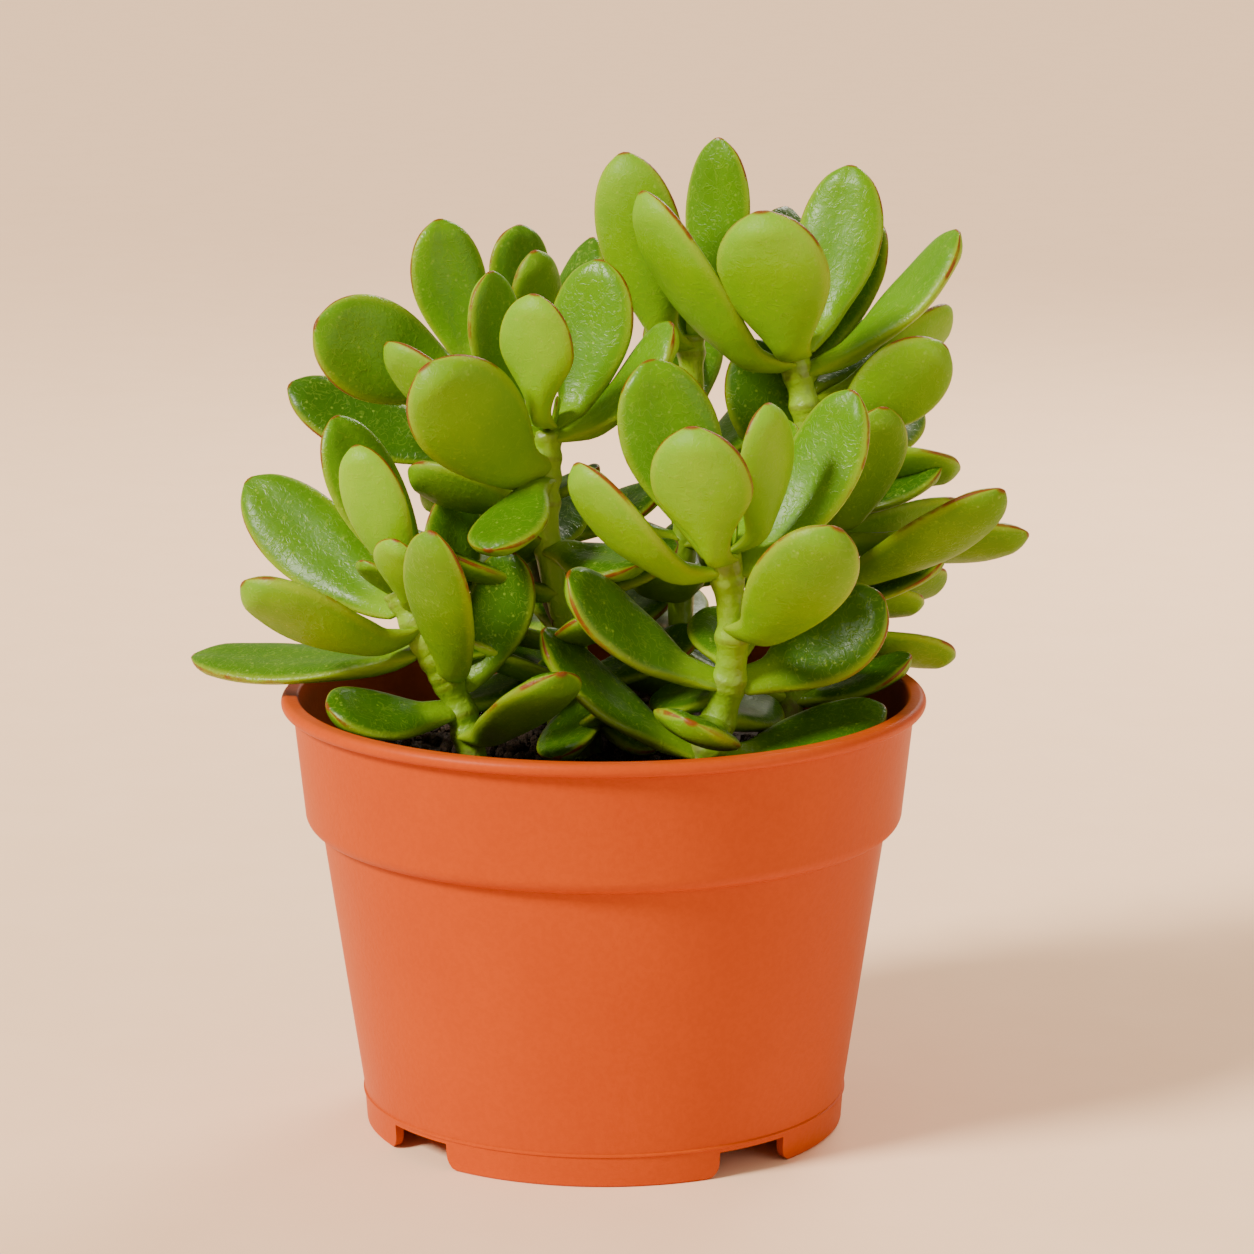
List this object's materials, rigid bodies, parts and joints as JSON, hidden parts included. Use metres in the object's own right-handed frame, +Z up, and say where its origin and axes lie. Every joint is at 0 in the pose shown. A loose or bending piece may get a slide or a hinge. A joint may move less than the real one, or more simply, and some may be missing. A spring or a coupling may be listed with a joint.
{
  "type": "potted jade plant",
  "caption": "Young jade plant with thick rounded leaves, growing from rooted cuttings in a round plastic nursery pot with a banded rim and notched foot.",
  "frame": {"origin": "where the pot's axis meets the surface the pot stands on, which is the middle of the bounding box's bottom to within 1.5 mm", "axes": "+Z up along the pot's axis, -Y towards the front of the plant, +X to its right as seen from the front"},
  "size_m": [0.1685, 0.1301, 0.1959],
  "materials": {
    "pot_plastic": "satin",
    "soil": "matte",
    "stem": "satin",
    "leaf": "satin"
  },
  "bodies": {
    "root": {"nursery_pot": "pot_plastic", "potting_soil": "soil", "front_leaf_1": "leaf", "front_leaf_2": "leaf", "front_leaf_3": "leaf", "front_leaf_4": "leaf", "front_leaf_5": "leaf", "front_leaf_6": "leaf", "front_leaf_7": "leaf", "front_leaf_8": "leaf", "front_leaf_9": "leaf", "front_leaf_10": "leaf", "front_leaf_11": "leaf", "front_leaf_12": "leaf", "front_leaf_13": "leaf", "front_stem": "stem", "left_leaf_1": "leaf", "left_leaf_2": "leaf", "left_leaf_3": "leaf", "left_leaf_4": "leaf", "left_leaf_5": "leaf", "left_leaf_6": "leaf", "left_leaf_7": "leaf", "left_leaf_8": "leaf", "left_leaf_9": "leaf", "left_leaf_10": "leaf", "left_leaf_11": "leaf", "left_stem": "stem", "middle_leaf_1": "leaf", "middle_leaf_2": "leaf", "middle_leaf_3": "leaf", "middle_leaf_4": "leaf", "middle_leaf_5": "leaf", "middle_leaf_6": "leaf", "middle_leaf_7": "leaf", "middle_leaf_8": "leaf", "middle_leaf_9": "leaf", "middle_stem": "stem", "side_leaf_1": "leaf", "side_leaf_2": "leaf", "side_leaf_3": "leaf", "right_leaf_1": "leaf", "right_leaf_2": "leaf", "right_leaf_3": "leaf", "right_leaf_4": "leaf", "right_leaf_5": "leaf", "right_leaf_6": "leaf", "right_leaf_7": "leaf", "right_leaf_8": "leaf", "right_leaf_9": "leaf", "right_leaf_10": "leaf", "right_leaf_11": "leaf", "right_leaf_12": "leaf", "right_leaf_13": "leaf", "right_stem": "stem", "back_right_leaf_1": "leaf", "back_right_leaf_2": "leaf", "back_right_stem": "stem", "back_left_leaf_1": "leaf", "back_left_stem": "stem"}
  },
  "joints": []
}
